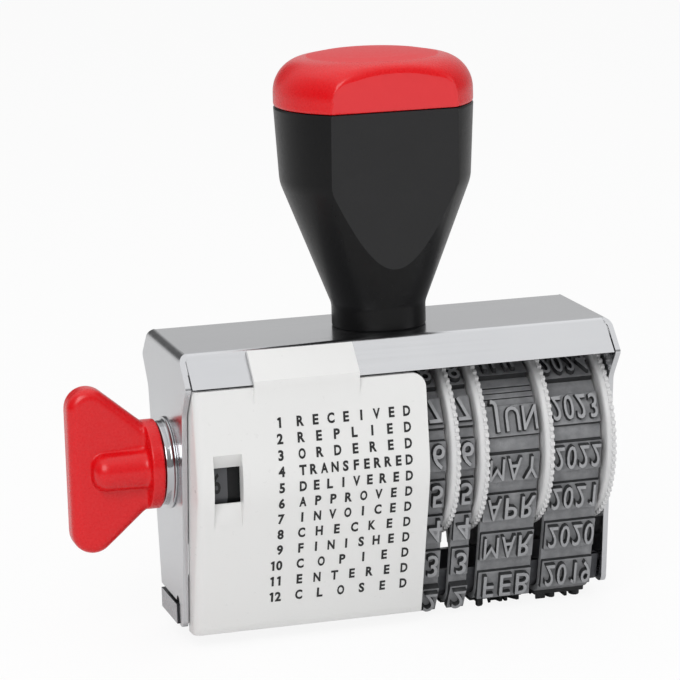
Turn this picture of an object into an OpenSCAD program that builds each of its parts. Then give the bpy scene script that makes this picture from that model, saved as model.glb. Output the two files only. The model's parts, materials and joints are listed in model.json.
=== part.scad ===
// Band date stamp with a dial-a-phrase loop: a bent sheet frame carries one axle with four
// date wheels and a phrase drum, and five rubber loops run from the wheels round a print bridge.
// The print face lies at z = 0, the frame is centred on x = 0 and y = 0, the front looks to -y.

/* [Frame] */
// Length over the two side plates
frame_l = 68; // [64:0.5:80]
// Thickness of the plated sheet
sheet_t = 0.8; // [0.6:0.05:1]
// Inside radius of the bends in the sheet
bend_r = 0.5; // [0.3:0.05:0.8]
// Depth of the top plate between its bend lines
top_d = 19.8; // [18:0.2:22]
// Depth over the lower edges of the two flanges
flange_d = 28.6; // [27.6:0.2:31]
// How far the flanges come down from the top face
flange_drop = 4.6; // [4:0.1:5]
// Depth of a side plate at its shoulders, under the flanges
shoulder_d = 22; // [20.4:0.2:25]
// How far the shoulders lie below the flange edges
shoulder_drop = 4.4; // [3:0.1:6]
// Depth of a side plate at its foot
foot_d = 13.4; // [12.8:0.1:15]
// Height of the feet above the print face
foot_z = 2.6; // [2.4:0.1:3.4]
// Radius of the foot corners
foot_r = 1.4; // [0.6:0.1:1.8]
// Width of the plate left in front of the bridge notch
finger_w = 2.4; // [2:0.1:2.8]
// Open seam between a flange's end and the side plate
seam = 0.25; // [0.15:0.05:0.4]

/* [Loops] */
// Height of the axle above the print face
axle_z = 27; // [26:0.2:29]
// Radius of the drums that carry the loops
drum_r = 11.05; // [10.5:0.05:11.5]
// Radial gap between a drum and its loop
drum_gap = 0.15; // [0.1:0.05:0.25]
// Thickness of a loop's strap
strap_t = 0.9; // [0.7:0.05:1.1]
// Height of a pad above its strap
pad_h = 0.6; // [0.4:0.05:0.8]
// Height of the type above its pad
type_h = 0.8; // [0.5:0.05:1]
// Length of a pad along its loop
pad_l = 5; // [4.4:0.1:5.4]
// Height of the printed characters
char_h = 4; // [3.2:0.1:4.3]
// Number of positions on the phrase, month and year loops
pads = 14; // [12:1:15]
// Number of positions on the two digit loops
digit_pads = 16; // [14:1:17]
// How far the month loop is rolled past the print line
month_roll = 0.6; // [0:0.1:1.5]
// How far the year loop is rolled past the print line
year_roll = 1.4; // [0:0.1:1.5]
// Blank length at the joint of the phrase, month and year loops
joint_l = 2.4; // [0:0.1:4]
// Number of months before the joint of their loop
month_joint = 6; // [4:1:8]
// Width of the digit loops
digit_w = 3; // [2.8:0.05:4]
// Width of the month loop
month_w = 8.8; // [8:0.1:10]
// Width of the year loop
year_w = 8.4; // [8:0.1:10]
// Inset of the pads from the edges of a loop
pad_inset = 0.1; // [0.05:0.05:0.2]
// Inset of the type from the edges of its pad
type_inset = 0.15; // [0.1:0.05:0.3]
// Gap between two characters
char_gap = 0.35; // [0.2:0.05:0.5]

/* [Print bridge] */
// Half width of the flat sole
nose_w = 3; // [2.75:0.05:3.4]
// Radius of the loops' turns round the bridge
nose_r = 2.55; // [2:0.05:3]
// Thickness of the bridge sheet
bridge_t = 1; // [0.8:0.1:1.2]
// Height of the bridge walls above the sole
bridge_h = 4.8; // [4:0.1:5.6]
// Gap between the bridge and the loops
bridge_gap = 0.1; // [0.05:0.05:0.2]
// Height of the end tongues
tongue_h = 3.1; // [2.6:0.1:3.6]
// How far the tongues stand out of the side plates
tongue_proud = 0.3; // [0.1:0.05:0.5]
// Gap round a tongue in its notch
notch_gap = 0.4; // [0.2:0.05:0.5]
// Radius of the relief hole in the notch corner
relief_r = 0.9; // [0.5:0.1:1]

/* [Date wheels] */
// How far the toothed rims stand out beyond the type
rim_proud = 1.5; // [1.2:0.1:2]
// Gap between the type and the inside of a rim
rim_gap = 0.4; // [0.3:0.05:0.6]
// Width of a rim
rim_t = 1.4; // [1.2:0.1:1.8]
// Width of the teeth at the right edge of a rim
tooth_w = 0.6; // [0.4:0.05:0.8]
// Chamfer at the left edge of a rim
rim_bevel = 0.35; // [0.2:0.05:0.4]
// Thickness of a wheel's web
web_t = 0.9; // [0.7:0.05:1.1]
// Number of teeth on a rim
teeth = 80; // [60:2:90]
// Depth of the teeth
tooth_h = 0.45; // [0.3:0.05:0.6]
// Wall of the drums
drum_wall = 1.2; // [0.9:0.1:1.6]
// Wall of the hubs
hub_wall = 1.6; // [1.2:0.1:2]
// Gap between a loop's edge and the rims beside it
side_gap = 0.1; // [0.08:0.02:0.2]
// Gap between neighbouring wheels
wheel_gap = 0.1; // [0.08:0.02:0.16]
// Gap between the last rim and the right side plate
end_gap = 0.3; // [0.2:0.05:0.4]

/* [Axle] */
// Radius of the axle
axle_r = 2.5; // [2:0.05:3]
// Running clearance in the bores, on the radius
run_fit = 0.05; // [0.03:0.01:0.08]
// Assembly clearance of fixed pieces
seat_fit = 0.02; // [0.01:0.01:0.05]
// Depth of the flat on the knob end
flat_h = 0.6; // [0.4:0.1:0.8]
// Length of the axle inside the knob
knob_grip = 8; // [6:0.5:9]
// Length of the axle beyond the right bush
axle_end = 1.6; // [1.4:0.1:2]
// Depth of the clip groove
groove_h = 0.5; // [0.4:0.05:0.6]
// Thickness of the retaining clip
clip_t = 0.6; // [0.4:0.1:0.8]
// Radial width of the retaining clip
clip_w = 1.5; // [1.2:0.1:2]

/* [Bushes] */
// Thickness of the knob bush outside the plate
collar_t = 1.6; // [1.2:0.1:2]
// Radius of the knob bush at the plate
collar_r = 7; // [6.4:0.1:7.4]
// Radius of the knob bush at the knob
collar_tip_r = 6.4; // [5.8:0.1:6.8]
// Thickness of the knob bush's lip at the plate
lip_t = 0.3; // [0.2:0.05:0.5]
// Wall of the bush bodies
bush_wall = 1.3; // [1:0.1:1.6]
// Thickness of the bush nut
nut_t = 1.2; // [1:0.1:1.3]
// Width of the bush nut across its flats
nut_af = 11; // [10:0.5:12]
// Thickness of the right bush flange
flange_t = 0.8; // [0.6:0.1:1]
// Width of the right bush flange
flange_w = 1.4; // [1:0.1:2]

/* [Phrase drum] */
// Width of the index ring
index_w = 6.2; // [5.6:0.1:6.8]
// How far the index ring lies below the type
index_drop = 0.7; // [0.5:0.05:1]
// Gap between the nut and the index ring
index_gap = 0.6; // [0.4:0.1:0.8]
// Gap between the phrase drum's parts and their neighbours
phrase_gap = 0.4; // [0.3:0.05:0.5]

/* [Wing knob] */
// Gap between the knob and its bush
knob_gap = 0.15; // [0.1:0.05:0.3]
// Radius of the knob's round flange
knob_r = 6.8; // [6.6:0.1:7]
// Thickness of the round flange
knob_t = 1.9; // [1.5:0.1:2.4]
// Length of the wing
wing_l = 11.7; // [11:0.1:14]
// Height of the wing at its outer end
wing_h = 25.4; // [22:0.2:30]
// Height of the wing at the flange
wing_root = 12.2; // [11:0.1:12.6]
// Thickness of the wing
wing_t = 5; // [4:0.1:6]
// Radius of the wing's outer corners
wing_r = 3.3; // [2.6:0.1:4]
// Rounding of the wing's edges
wing_edge = 1.5; // [0.8:0.1:1.8]
// Radius of the half-round bosses
boss_r = 2.9; // [2.6:0.1:3.2]
// Length of the half-round bosses
boss_l = 8.6; // [7:0.1:10]
// Rounding of the bosses' ends
boss_round = 2.2; // [1:0.1:2.4]

/* [Cover] */
// Wall of the cover
cover_t = 1; // [0.8:0.05:1.2]
// Gap between the type and the cover
cover_gap = 1; // [0.8:0.05:1.3]
// Gap between the cover and its neighbours
cover_fit = 0.2; // [0.15:0.05:0.3]
// Gap between the flange edges and the cover's top edge
cover_seam = 0.4; // [0.3:0.05:0.6]
// Height of the cover's lower edge above the print face
cover_z = 2; // [1.6:0.1:2.6]
// How far the cover's side wall reaches behind the plate edge
cover_lap = 0.7; // [0.4:0.1:1]
// Rounding of the cover's left edge
cover_r = 1.2; // [0.8:0.1:1.6]
// Rounding of the cover's upper right corner
cover_corner = 2.2; // [1:0.1:3]
// Width of the tab over the flange
tab_w = 16.2; // [12:0.2:20]
// Distance from the cover's left edge to the tab
tab_x = 9.2; // [6:0.2:12]
// Thickness of the tab
tab_t = 0.8; // [0.6:0.05:1]
// How far the tab's root blends down the face
tab_root = 3; // [2:0.2:6]
// Distance from the cover's left edge to the index window
window_x = 2.5; // [2.2:0.1:2.8]
// Width of the index window
window_w = 4.4; // [3.8:0.1:4.6]
// Height of the index window
window_h = 5.5; // [5:0.1:6.4]
// Depth of the scoop round the window
scoop_d = 2; // [1.6:0.1:2.2]
// Height of the bevel above the window
bevel_h = 2.7; // [1:0.1:3]
// Height of the ramp below the window
ramp_h = 4.1; // [2:0.1:5]

/* [Handle] */
// Gap between the wheels and the top plate
top_gap = 2.8; // [2.5:0.1:4]
// Height of the black handle body
handle_h = 34; // [30:0.2:40]
// Radius of the neck
neck_r = 7.2; // [6.4:0.1:8.4]
// Height of the straight neck
neck_h = 3.4; // [2.5:0.1:5]
// Radius of the handle above its taper
grip_r = 14.5; // [13:0.1:16]
// Height of the grip above its taper
grip_h = 11.6; // [9:0.1:13]
// Radius of the handle at the cap joint
cap_r = 15.1; // [14:0.1:17]
// Height of the red cap
cap_h = 8.2; // [7:0.1:9]
// Rounding of the cap's shoulder
cap_round = 4.5; // [3.5:0.1:5]
// Radius of the cap's crown
crown_r = 60; // [50:1:90]
// Distance between the front and back flats at the cap joint
flat_d = 23; // [22.6:0.2:26]
// Slope of the flats in degrees
flat_a = 4; // [2:0.2:5]
// Radius of the cap's spigot
spigot_r = 9; // [7:0.1:9.6]
// Length of the cap's spigot
spigot_l = 4; // [3:0.1:6]
// Radius of the handle screw
screw_r = 2; // [1.5:0.1:2.2]
// Length of the screw above the top plate
screw_l = 12; // [9:0.5:15]
// Radius of the screw head
head_r = 3.6; // [3.2:0.1:3.8]
// Height of the screw head
head_h = 1.4; // [1:0.1:1.5]
// Thickness of the lock washer
washer_t = 0.6; // [0.4:0.1:0.7]
// Wall of the threaded insert
insert_wall = 1.3; // [1:0.1:1.8]

/* [Hidden] */
$fn = 64;
cut = 0.5;
half_l = frame_l / 2;
inner_x = half_l - sheet_t;

// Radii about the axle, from the drum outwards
belt_r = drum_r + drum_gap;
type_e = strap_t + pad_h + type_h;
type_r = belt_r + type_e;
rim_r = type_r + rim_proud;
rim_in = type_r + rim_gap;
index_r = type_r - index_drop;
hub_r = axle_r + run_fit + hub_wall;
bush_r = axle_r + run_fit + bush_wall;

// Heights of the frame
top_z = axle_z + rim_r + top_gap + sheet_t;
flange_z = top_z - flange_drop;
shoulder_z = flange_z - shoulder_drop;
bend_out = bend_r + sheet_t;
top_y = top_d / 2;
flange_y = flange_d / 2;
flange_u = [flange_y - top_y, flange_drop] / norm([flange_y - top_y, flange_drop]);
flange_n = [-flange_u.y, flange_u.x];
flange_len = norm([flange_y - top_y, flange_drop]);
bend_len = bend_out * tan(atan2(flange_drop, flange_y - top_y) / 2);

// A loop turns round the drum and round the two lower edges of the bridge
nose_z = type_e + nose_r;
loop_dz = axle_z - nose_z;
loop_a = asin((belt_r - nose_r) / norm([nose_w, loop_dz])) - atan2(nose_w, loop_dz);
run_l = sqrt(pow(norm([nose_w, loop_dz]), 2) - pow(belt_r - nose_r, 2));
mid_r = belt_r + strap_t / 2;
mid_nose_r = nose_r + strap_t / 2;
turn_l = mid_nose_r * (90 - loop_a) * PI / 180;
run_start = nose_w + turn_l;
run_end = run_start + run_l;
loop_l = 2 * run_end + mid_r * (180 + 2 * loop_a) * PI / 180;

// Date wheels from right to left: year, month, units, tens
date_w = [digit_w, digit_w, month_w, year_w];
date_chars = [1, 1, 3, 4];
date_pads = [digit_pads, digit_pads, pads, pads];
date_roll = [0, 0, month_roll, year_roll];
date_blank = [0, 0, joint_l, joint_l];
date_joint = [digit_pads, digit_pads, month_joint, pads];
web_in = (rim_t - web_t) / 2;
rim_x = [for (i = [0:3]) inner_x - end_gap - step_sum(i)];
band_x = [for (i = [0:3]) rim_x[i] - rim_t - side_gap - date_w[i]];
function step_sum(i) = i == 3 ? 0 : date_w[i + 1] + rim_t + 2 * side_gap + step_sum(i + 1);

// Phrase section, from the left side plate to the tens loop
nut_x = -inner_x;
index_x = nut_x + nut_t + index_gap;
phrase_x0 = index_x + index_w + phrase_gap;
drum_x1 = band_x[0] - phrase_gap;
phrase_x1 = drum_x1 - phrase_gap;
cover_x0 = -inner_x + cover_fit;
cover_x1 = band_x[0] - 1.5 * phrase_gap;

// Knob side
collar_x = -half_l - collar_t;
knob_x = collar_x - knob_gap;
wing_x1 = knob_x - knob_t;
wing_x0 = wing_x1 - wing_l;
axle_x0 = knob_x - knob_grip;
right_x = half_l + flange_t;
axle_x1 = right_x + axle_end;
clip_x = right_x + knob_gap;

// Cover profile: parallel to the loops, then straight up to the flange edge
cover_in = type_e + cover_gap;
cover_out = cover_in + cover_t;
cover_top = [-(flange_y - cover_fit / 2), flange_z - cover_seam];
window_z = axle_z - 1;
scoop_y = -(belt_r + cover_out - scoop_d);

// Handle
cap_z = top_z + handle_h;
insert_r = screw_r + insert_wall;

// One rounded corner at b between its neighbours a and c, as points on the arc
function unit(v) = v / norm(v);
function corner(a, b, c, r, n) =
    let (u = unit(a - b), v = unit(c - b), half = acos(u * v) / 2)
    let (p0 = b + u * r / tan(half), p1 = b + v * r / tan(half))
    let (mid = b + unit(u + v) * r / sin(half))
    let (a0 = atan2(p0.y - mid.y, p0.x - mid.x), a1 = atan2(p1.y - mid.y, p1.x - mid.x))
    let (turn = (a1 - a0 + 540) % 360 - 180)
    [for (i = [0:n]) mid + r * [cos(a0 + turn * i / n), sin(a0 + turn * i / n)]];

// A polygon's points with each corner rounded to its own radius
function rounded(pts, radii, n = 8) =
    let (count = len(pts))
    [for (i = [0:count - 1])
        each radii[i] == 0 ? [pts[i]]
            : corner(pts[(i + count - 1) % count], pts[i], pts[(i + 1) % count], radii[i], n)];

// The inner corner of a sheet of thickness t bent at b
function mitre(a, b, c, t) =
    let (u = unit(a - b), v = unit(c - b))
    b + unit(u + v) * t / sin(acos(u * v) / 2);

function mirrored(pts) = [for (i = [len(pts) - 1:-1:0]) [-pts[i].x, pts[i].y]];

// Place of a point s along a loop's middle, from the sole's centre to the front: [y, z, turn]
function on_loop(s) =
    s > loop_l / 2 ? let (p = on_loop(loop_l - s)) [-p.x, p.y, -p.z]
    : s <= nose_w ? [-s, nose_z - mid_nose_r, 0]
    : s <= run_start ? let (f = (s - nose_w) / mid_nose_r * 180 / PI)
        [-nose_w - mid_nose_r * sin(f), nose_z - mid_nose_r * cos(f), f]
    : s <= run_end ? let (f = 90 - loop_a, d = s - run_start)
        [-nose_w - mid_nose_r * sin(f) - d * sin(loop_a),
            nose_z - mid_nose_r * cos(f) + d * cos(loop_a), f]
    : let (f = 90 - loop_a + (s - run_end) / mid_r * 180 / PI)
        [-mid_r * sin(f), axle_z - mid_r * cos(f), f];

// A y-z profile drawn out along x
module along_x(x0, x1) {
    translate([x0, 0, 0]) rotate([90, 0, 90]) linear_extrude(x1 - x0) children();
}

// Shapes drawn about z stand about the axle, with z becoming x
module about_axle() {
    translate([0, 0, axle_z]) rotate([0, 90, 0]) children();
}

module tube(x0, x1, r_out, r_in) {
    about_axle() translate([0, 0, x0]) difference() {
        cylinder(r = r_out, h = x1 - x0);
        translate([0, 0, -cut]) cylinder(r = r_in, h = x1 - x0 + 2 * cut);
    }
}

// Region inside a loop that has been grown by e
module loop_region(e) {
    translate([0, axle_z]) circle(belt_r + e);
    for (s = [-1, 1]) translate([s * nose_w, nose_z]) circle(nose_r + e);
    polygon([
        [-(belt_r + e) * cos(loop_a), axle_z - (belt_r + e) * sin(loop_a)],
        [-nose_w - (nose_r + e) * cos(loop_a), nose_z - (nose_r + e) * sin(loop_a)],
        [-nose_w, nose_z - nose_r - e],
        [nose_w, nose_z - nose_r - e],
        [nose_w + (nose_r + e) * cos(loop_a), nose_z - (nose_r + e) * sin(loop_a)],
        [(belt_r + e) * cos(loop_a), axle_z - (belt_r + e) * sin(loop_a)],
    ]);
}

// Frame: a top plate with two sloping flanges and two side plates, bent from one sheet
module side_plate_outline() {
    front = [
        [-top_y - bend_out / tan(atan2(flange_drop, flange_y - top_y)), top_z - bend_out],
        [-flange_y, flange_z], [-shoulder_d / 2, shoulder_z], [-foot_d / 2, foot_z],
    ];
    radii = [0, 0.6, 3, foot_r];
    polygon(rounded(concat(front, mirrored(front)), concat(radii, [for (i = [3:-1:0]) radii[i]])));
}

module bridge_notch() {
    notch_y = -foot_d / 2 + finger_w;
    notch_z = foot_z + tongue_h + notch_gap;
    translate([notch_y, 0]) square([foot_d, notch_z]);
    translate([notch_y + relief_r * 0.6, notch_z]) circle(relief_r);
}

module side_plate() {
    along_x(inner_x, half_l) difference() {
        side_plate_outline();
        translate([0, axle_z]) circle(bush_r + seat_fit);
        bridge_notch();
    }
    along_y_len = top_y - bend_len;
    translate([half_l - bend_out, along_y_len, top_z - bend_out]) rotate([90, 0, 0])
        linear_extrude(2 * along_y_len) intersection() {
            difference() {
                circle(bend_out);
                circle(bend_r);
            }
            square(bend_out);
        }
}

module flanges() {
    a = [-flange_y, flange_z];
    b = [-top_y, top_z];
    c = [top_y, top_z];
    inner_b = mitre(a, b, c, sheet_t);
    inner_a = a + [sheet_t / flange_u.y, 0];
    outer = [a, b];
    inner = [inner_b, inner_a];
    end_x = inner_x - seam;
    along_x(-end_x, end_x) difference() {
        polygon(rounded(
            concat(outer, mirrored(outer), mirrored(inner), inner),
            [0, bend_out, bend_out, 0, 0, bend_r, bend_r, 0]));
        square([2 * (top_y - bend_len), 2 * top_z + cut], center = true);
    }
}

module frame() {
    color("silver") difference() {
        union() {
            flanges();
            translate([0, 0, top_z - sheet_t / 2])
                cube([2 * (half_l - bend_out), 2 * (top_y - bend_len), sheet_t], center = true);
            side_plate();
            mirror([1, 0, 0]) side_plate();
        }
        translate([0, 0, top_z - sheet_t - cut]) cylinder(r = screw_r + 0.2, h = sheet_t + 2 * cut);
    }
}

// Handle: a turned body with a slender neck, cut by sloping front and back flats
module handle_flats() {
    for (s = [0, 180]) rotate([0, 0, s])
        translate([0, -flat_d / 2, cap_z]) rotate([flat_a, 0, 0])
            translate([-2 * cap_r, -4 * cap_r, -2 * handle_h])
                cube([4 * cap_r, 4 * cap_r, 4 * handle_h]);
}

module handle() {
    profile = rounded(
        [[0, 0], [neck_r, 0], [neck_r, neck_h], [grip_r, handle_h - grip_h],
            [cap_r, handle_h], [0, handle_h]],
        [0, 0, 3, 4, 0, 0], 5);
    color("#1d1d1f") difference() {
        translate([0, 0, top_z]) rotate_extrude($fn = 96) polygon(profile);
        handle_flats();
        translate([0, 0, top_z - cut]) cylinder(r = insert_r + seat_fit, h = screw_l + 1 + cut);
        translate([0, 0, cap_z - spigot_l - 0.5]) cylinder(r = spigot_r + seat_fit, h = spigot_l + 1);
    }
}

module handle_cap() {
    crown = function (r) cap_h - r * r / (2 * crown_r);
    inner_r = cap_r - cap_round - 2;
    shoulder = corner([cap_r, 0], [cap_r, crown(cap_r)], [inner_r, crown(inner_r)], cap_round, 8);
    dome = [for (i = [4:-1:0]) [inner_r * i / 4, crown(inner_r * i / 4)]];
    profile = concat([[0, 0], [cap_r, 0]], shoulder, dome);
    color("#c9161d") {
        difference() {
            translate([0, 0, cap_z]) rotate_extrude($fn = 96) polygon(profile);
            handle_flats();
        }
        translate([0, 0, cap_z - spigot_l]) cylinder(r = spigot_r, h = spigot_l + cut);
    }
}

module handle_insert() {
    color("goldenrod") translate([0, 0, top_z]) difference() {
        cylinder(r = insert_r, h = screw_l + 0.5);
        translate([0, 0, -cut]) cylinder(r = screw_r + seat_fit, h = screw_l + 1 + cut);
    }
}

module handle_screw() {
    under_z = top_z - sheet_t - washer_t;
    color("silver") {
        translate([0, 0, under_z - head_h]) cylinder(r = head_r, h = head_h);
        translate([0, 0, under_z - cut]) cylinder(r = screw_r, h = sheet_t + washer_t + screw_l + cut);
    }
}

module lock_washer() {
    color("gray") translate([0, 0, top_z - sheet_t - washer_t]) difference() {
        cylinder(r = head_r + 0.2, h = washer_t);
        translate([0, 0, -cut]) cylinder(r = screw_r + 0.2, h = washer_t + 2 * cut);
    }
}

// Cover: a thin shell parallel to the phrase loop, with a tab over the flange and an index window
module cover_region(e, back) {
    loop_region(e);
    r = belt_r + e;
    top = cover_top + [back, 0];
    dz = top.y - axle_z;
    tip = atan2(dz, -top.x) - acos(r / norm([top.x, dz]));
    polygon([
        [-r * cos(tip), axle_z + r * sin(tip)], top, top + [0, cut], [0, top.y + cut], [0, axle_z]]);
}

// The part of the cover's region between its lower and upper edges
module cover_front(e) {
    intersection() {
        cover_region(e, cover_out - e);
        translate([-2 * flange_d, cover_z]) square([2 * flange_d - nose_w, cover_top.y - cover_z]);
    }
}

// Full body with its left edge rounded in slices, hollowed from the back and the right
module cover_shell() {
    lean = (shoulder_d - foot_d) / 2 / (shoulder_z - foot_z);
    lap_y = -foot_d / 2 + cover_lap;
    difference() {
        hull() {
            along_x(cover_x0 + cover_r, cover_x1) cover_front(cover_out);
            for (a = [0, 22.5, 45, 67.5])
                along_x(cover_x0 + cover_r * (1 - cos(a)), cover_x0 + cover_r)
                    cover_front(cover_out - cover_r * (1 - sin(a)));
        }
        along_x(cover_x0 + cover_t, cover_x1 + cut) cover_region(cover_in, cover_t);
        along_x(cover_x0 - cut, cover_x0 + cover_t + cut) polygon([
            [lap_y, cover_z - cut], [0, cover_z - cut], [0, cover_top.y + cut],
            [lap_y - lean * (cover_top.y - cover_z), cover_top.y + cut]]);
    }
}

module cover_tab() {
    a = [-flange_y, flange_z] + flange_n * cover_fit / 2;
    tip = a + flange_u * (flange_len - bend_len);
    root_z = cover_top.y - tab_root;
    polygon([
        a, tip, tip + flange_n * tab_t - flange_u * tab_t / 2, a + flange_n * tab_t,
        [a.x + flange_n.x * tab_t, cover_top.y], [cover_top.x - cover_fit, root_z],
        [cover_top.x + cover_t / 2, root_z], [cover_top.x + cover_t / 2, cover_top.y], [a.x, cover_top.y]]);
}

module window_boss() {
    intersection() {
        cover_region(cover_out, 0);
        translate([-2 * flange_d, window_z - window_h / 2 - ramp_h - 0.6])
            square([2 * flange_d + scoop_y + cover_t / 4, window_h + ramp_h + bevel_h + 1.2]);
    }
}

module window_scoop() {
    low = window_z - window_h / 2;
    high = window_z + window_h / 2;
    ramp = 3.4 * ramp_h;
    polygon([
        [scoop_y, low], [scoop_y - scoop_d, low - ramp], [scoop_y - 2 * scoop_d, low - ramp],
        [scoop_y - 2 * scoop_d, high + 2 * bevel_h], [scoop_y, high],
        [scoop_y + scoop_d, high], [scoop_y + scoop_d, low]]);
}

module phrase_cover() {
    win_x0 = cover_x0 + window_x;
    color("white") difference() {
        union() {
            cover_shell();
            along_x(cover_x0 + tab_x, cover_x0 + tab_x + tab_w) cover_tab();
            along_x(win_x0 - cover_t, win_x0 + window_w + cover_t) window_boss();
        }
        along_x(win_x0, win_x0 + window_w) window_scoop();
        translate([cover_x1, 0, cover_top.y]) rotate([90, 0, 0]) linear_extrude(flange_d) difference() {
            translate([-cover_corner, -cover_corner]) square(cover_corner + cut);
            translate([-cover_corner, -cover_corner]) circle(cover_corner);
        }
    }
}

// Print bridge: a channel inside the loops, with end tongues in the notches of the side plates
module print_bridge() {
    end_x = inner_x - seam;
    tongue_y = -foot_d / 2 + finger_w + notch_gap;
    color("gainsboro") {
        along_x(-end_x, end_x) intersection() {
            difference() {
                loop_region(-bridge_gap);
                loop_region(-bridge_gap - bridge_t);
            }
            translate([-flange_d, 0]) square([2 * flange_d, type_e + bridge_gap + bridge_h]);
        }
        for (s = [0, 1]) mirror([s, 0, 0])
            translate([end_x - cut, tongue_y, foot_z])
                cube([half_l + tongue_proud - end_x + cut, foot_d / 2 - cut - tongue_y, tongue_h]);
    }
}

// Axle with a flat for the knob and a groove for the retaining clip
module axle_flat(x1) {
    translate([axle_x0 - cut, -2 * axle_r, axle_z + axle_r - flat_h])
        cube([x1 - axle_x0 + cut, 4 * axle_r, 2 * axle_r]);
}

module axle() {
    color("silver") difference() {
        about_axle() translate([0, 0, axle_x0]) cylinder(r = axle_r, h = axle_x1 - axle_x0);
        axle_flat(wing_x1);
        tube(clip_x, clip_x + clip_t + 2 * seat_fit, axle_r + cut, axle_r - groove_h);
    }
}

module axle_clip() {
    color("dimgray") difference() {
        tube(clip_x + seat_fit, clip_x + seat_fit + clip_t, axle_r + clip_w, axle_r - groove_h + seat_fit);
        translate([clip_x - cut, -axle_r * 0.7, axle_z - 2 * axle_r - clip_w])
            cube([clip_t + 2 * cut, axle_r * 1.4, 2 * axle_r + clip_w]);
    }
}

// Wing knob: a flat wing with rounded edges and half-round bosses on a round flange
module wing_puck(x, z, r) {
    edge = min(wing_edge, r - 0.1);
    half_t = wing_t / 2;
    profile = rounded([[0, -half_t], [r, -half_t], [r, half_t], [0, half_t]], [0, edge, edge, 0], 4);
    translate([x, 0, axle_z + z]) rotate([90, 0, 0]) rotate_extrude($fn = 32) polygon(profile);
}

module wing() {
    hull() for (s = [-1, 1]) {
        wing_puck(wing_x0 + wing_r, s * (wing_h / 2 - wing_r), wing_r);
        wing_puck(wing_x1, s * (wing_root / 2 - wing_edge - 0.1), wing_edge + 0.1);
    }
}

module wing_knob() {
    rim = rounded([[0, 0], [knob_r, 0], [knob_r, knob_t], [0, knob_t]], [0, 0.5, 0.8, 0], 4);
    boss_end = boss_l + knob_t / 2;
    boss = rounded([[0, 0], [boss_r, 0], [boss_r, boss_end], [0, boss_end]], [0, 0, boss_round, 0], 6);
    color("#c9161d") difference() {
        union() {
            intersection() {
                wing();
                translate([wing_x0 - cut, -wing_h, 0])
                    cube([wing_x1 + knob_t / 2 - wing_x0 + cut, 2 * wing_h, 2 * top_z]);
            }
            for (s = [-1, 1]) translate([wing_x1 + knob_t / 2, s * wing_t / 2, axle_z]) rotate([0, -90, 0])
                rotate_extrude() polygon(boss);
            translate([knob_x, 0, axle_z]) rotate([0, -90, 0]) rotate_extrude() polygon(rim);
        }
        difference() {
            about_axle() translate([0, 0, axle_x0 - seat_fit])
                cylinder(r = axle_r + seat_fit, h = knob_grip + cut);
            translate([0, 0, seat_fit]) axle_flat(wing_x1);
        }
    }
}

// Chrome bush of the knob, its nut, and the plain bush at the right plate
module knob_bush() {
    bore = axle_r + run_fit;
    end = collar_t + sheet_t + nut_t;
    lip = collar_r - collar_tip_r;
    profile = rounded([
        [bore, 0], [collar_tip_r, 0], [collar_tip_r, collar_t - lip_t], [collar_r, collar_t - lip_t],
        [collar_r, collar_t], [bush_r, collar_t], [bush_r, end], [bore, end]],
        [0, 0.3, lip - 0.15, 0.1, 0, 0, 0, 0], 5);
    color("gainsboro") about_axle() translate([0, 0, collar_x]) rotate_extrude() polygon(profile);
}

module bush_nut() {
    color("silver") about_axle() translate([0, 0, nut_x]) difference() {
        cylinder(r = nut_af / 2 / cos(30), h = nut_t, $fn = 6);
        translate([0, 0, -cut]) cylinder(r = bush_r + seat_fit, h = nut_t + 2 * cut);
    }
}

module right_bush() {
    color("gainsboro") {
        tube(inner_x, half_l, bush_r, axle_r + run_fit);
        tube(half_l, right_x, bush_r + flange_w, axle_r + run_fit);
    }
}

module end_washer() {
    color("gray") tube(rim_x[3] - web_in, inner_x - seat_fit, hub_r, axle_r + run_fit);
}

// Phrase drum and index ring, both fixed on the axle
module phrase_drum() {
    x0 = index_x + index_w;
    bore = axle_r + seat_fit;
    color("#55565a") {
        tube(x0, drum_x1, drum_r, drum_r - drum_wall);
        tube(x0, drum_x1, hub_r, bore);
        tube(x0, x0 + web_t, drum_r - cut, hub_r - cut);
        tube(drum_x1 - web_t, drum_x1, drum_r - cut, hub_r - cut);
    }
}

module index_ring() {
    bore = axle_r + seat_fit;
    color("#3a3b3e") {
        about_axle() translate([0, 0, index_x]) difference() {
            linear_extrude(index_w) polygon([for (i = [1:pads])
                index_r / cos(180 / pads) * [cos(360 * i / pads), sin(360 * i / pads)]]);
            translate([0, 0, -cut]) cylinder(r = index_r - drum_wall, h = index_w + 2 * cut);
        }
        tube(index_x, index_x + index_w, hub_r, bore);
        tube(index_x + index_w - web_t, index_x + index_w, index_r - drum_wall + cut, hub_r - cut);
    }
}

// Date wheels: a rim with teeth along its right edge, on a web with the loop's drum at its left
module rim_outline(root_r) {
    polygon([for (i = [0:teeth - 1], k = [[0, root_r], [0.15, rim_r], [0.55, rim_r], [0.7, root_r]])
        k.y * [cos(360 * (i + k.x) / teeth), sin(360 * (i + k.x) / teeth)]]);
}

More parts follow.
